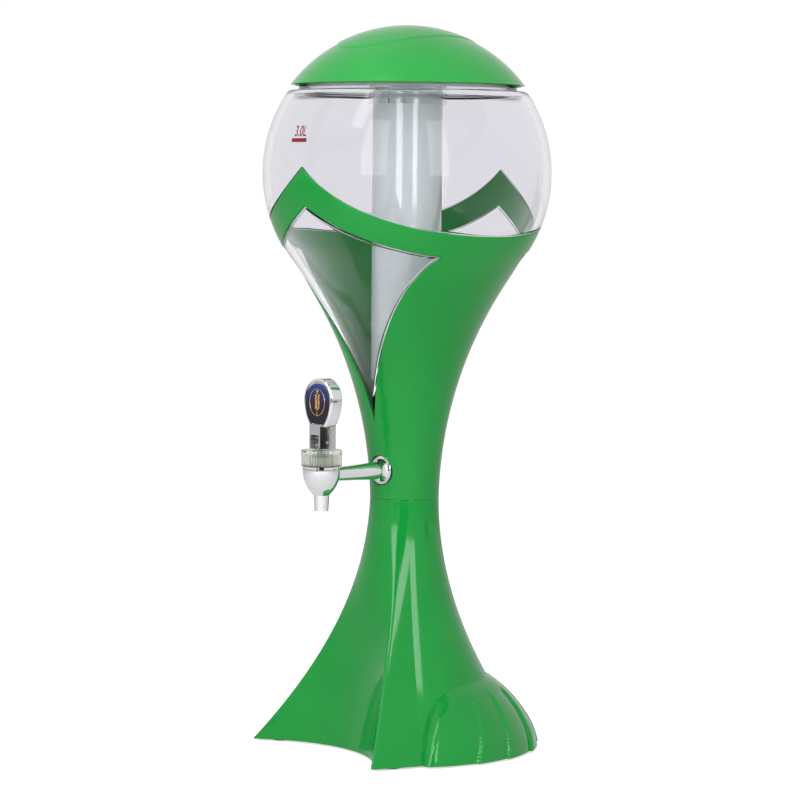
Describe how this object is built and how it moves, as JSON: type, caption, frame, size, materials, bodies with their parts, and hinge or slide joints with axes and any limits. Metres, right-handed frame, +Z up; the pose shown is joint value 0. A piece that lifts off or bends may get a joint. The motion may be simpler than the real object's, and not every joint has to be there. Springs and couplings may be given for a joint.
{
  "type": "beer tower dispenser",
  "caption": "Table drink tower: flared pedestal, goblet with V windows round a clear globe, domed lid with an ice tube, and a lever tap.",
  "frame": {"origin": "on the table under the centre of the globe", "axes": "+Z up, the tap points to -Y, +X to the right seen from the tap"},
  "size_m": [0.208, 0.208, 0.5209],
  "materials": {
    "green_plastic": "glossy moulded plastic",
    "clear_plastic": "clear moulded plastic",
    "frosted_plastic": "frosted translucent plastic",
    "chromed": "bright chrome plating",
    "rubber": "soft black rubber",
    "silicone": "soft pale silicone",
    "steel": "plain steel",
    "white_plastic": "moulded plastic",
    "navy_plate": "printed gloss plate"
  },
  "bodies": {
    "tower": {"base_shell": "green_plastic", "base_cover": "white_plastic", "cover_screws": "steel", "rubber_feet": "rubber", "cup_shell": "green_plastic", "vessel": "clear_plastic", "clamp_washer": "rubber", "clamp_nut": "white_plastic", "tap_body": "chromed", "tap_escutcheon": "chromed", "outer_gasket": "rubber", "inner_gasket": "rubber", "shank_nut": "white_plastic", "tap_bonnet": "clear_plastic", "bonnet_seal": "rubber", "stem_seal": "rubber"},
    "lid": {"lid_dome": "green_plastic", "lid_liner": "clear_plastic", "lid_seal": "silicone", "tube_seal": "silicone"},
    "tube": {"ice_tube": "frosted_plastic"},
    "stem": {"plunger": "clear_plastic", "seat_plug": "silicone", "lever_pin": "steel"},
    "lever": {"tap_lever": "chromed", "lever_badge": "navy_plate"}
  },
  "joints": [
    {"name": "lid_lift", "type": "slide", "parent": "tower", "child": "lid", "axis": [0, 0, 1], "range_m": [0, 0.225]},
    {"name": "tube_twist", "type": "hinge", "parent": "lid", "child": "tube", "pos_m": [0, 0, 0.47], "axis": [0, 0, 1], "range_deg": [0, 60]},
    {"name": "plunger_lift", "type": "slide", "parent": "tower", "child": "stem", "axis": [0, 0, 1], "range_m": [0, 0.0022]},
    {"name": "lever_tilt", "type": "hinge", "parent": "stem", "child": "lever", "pos_m": [0, -0.0828, 0.2254], "axis": [1, 0, 0], "range_deg": [0, 40]}
  ],
  "couplings": [
    {"joint": "plunger_lift", "follows": "lever_tilt", "m_per_rad": 0.003}
  ]
}
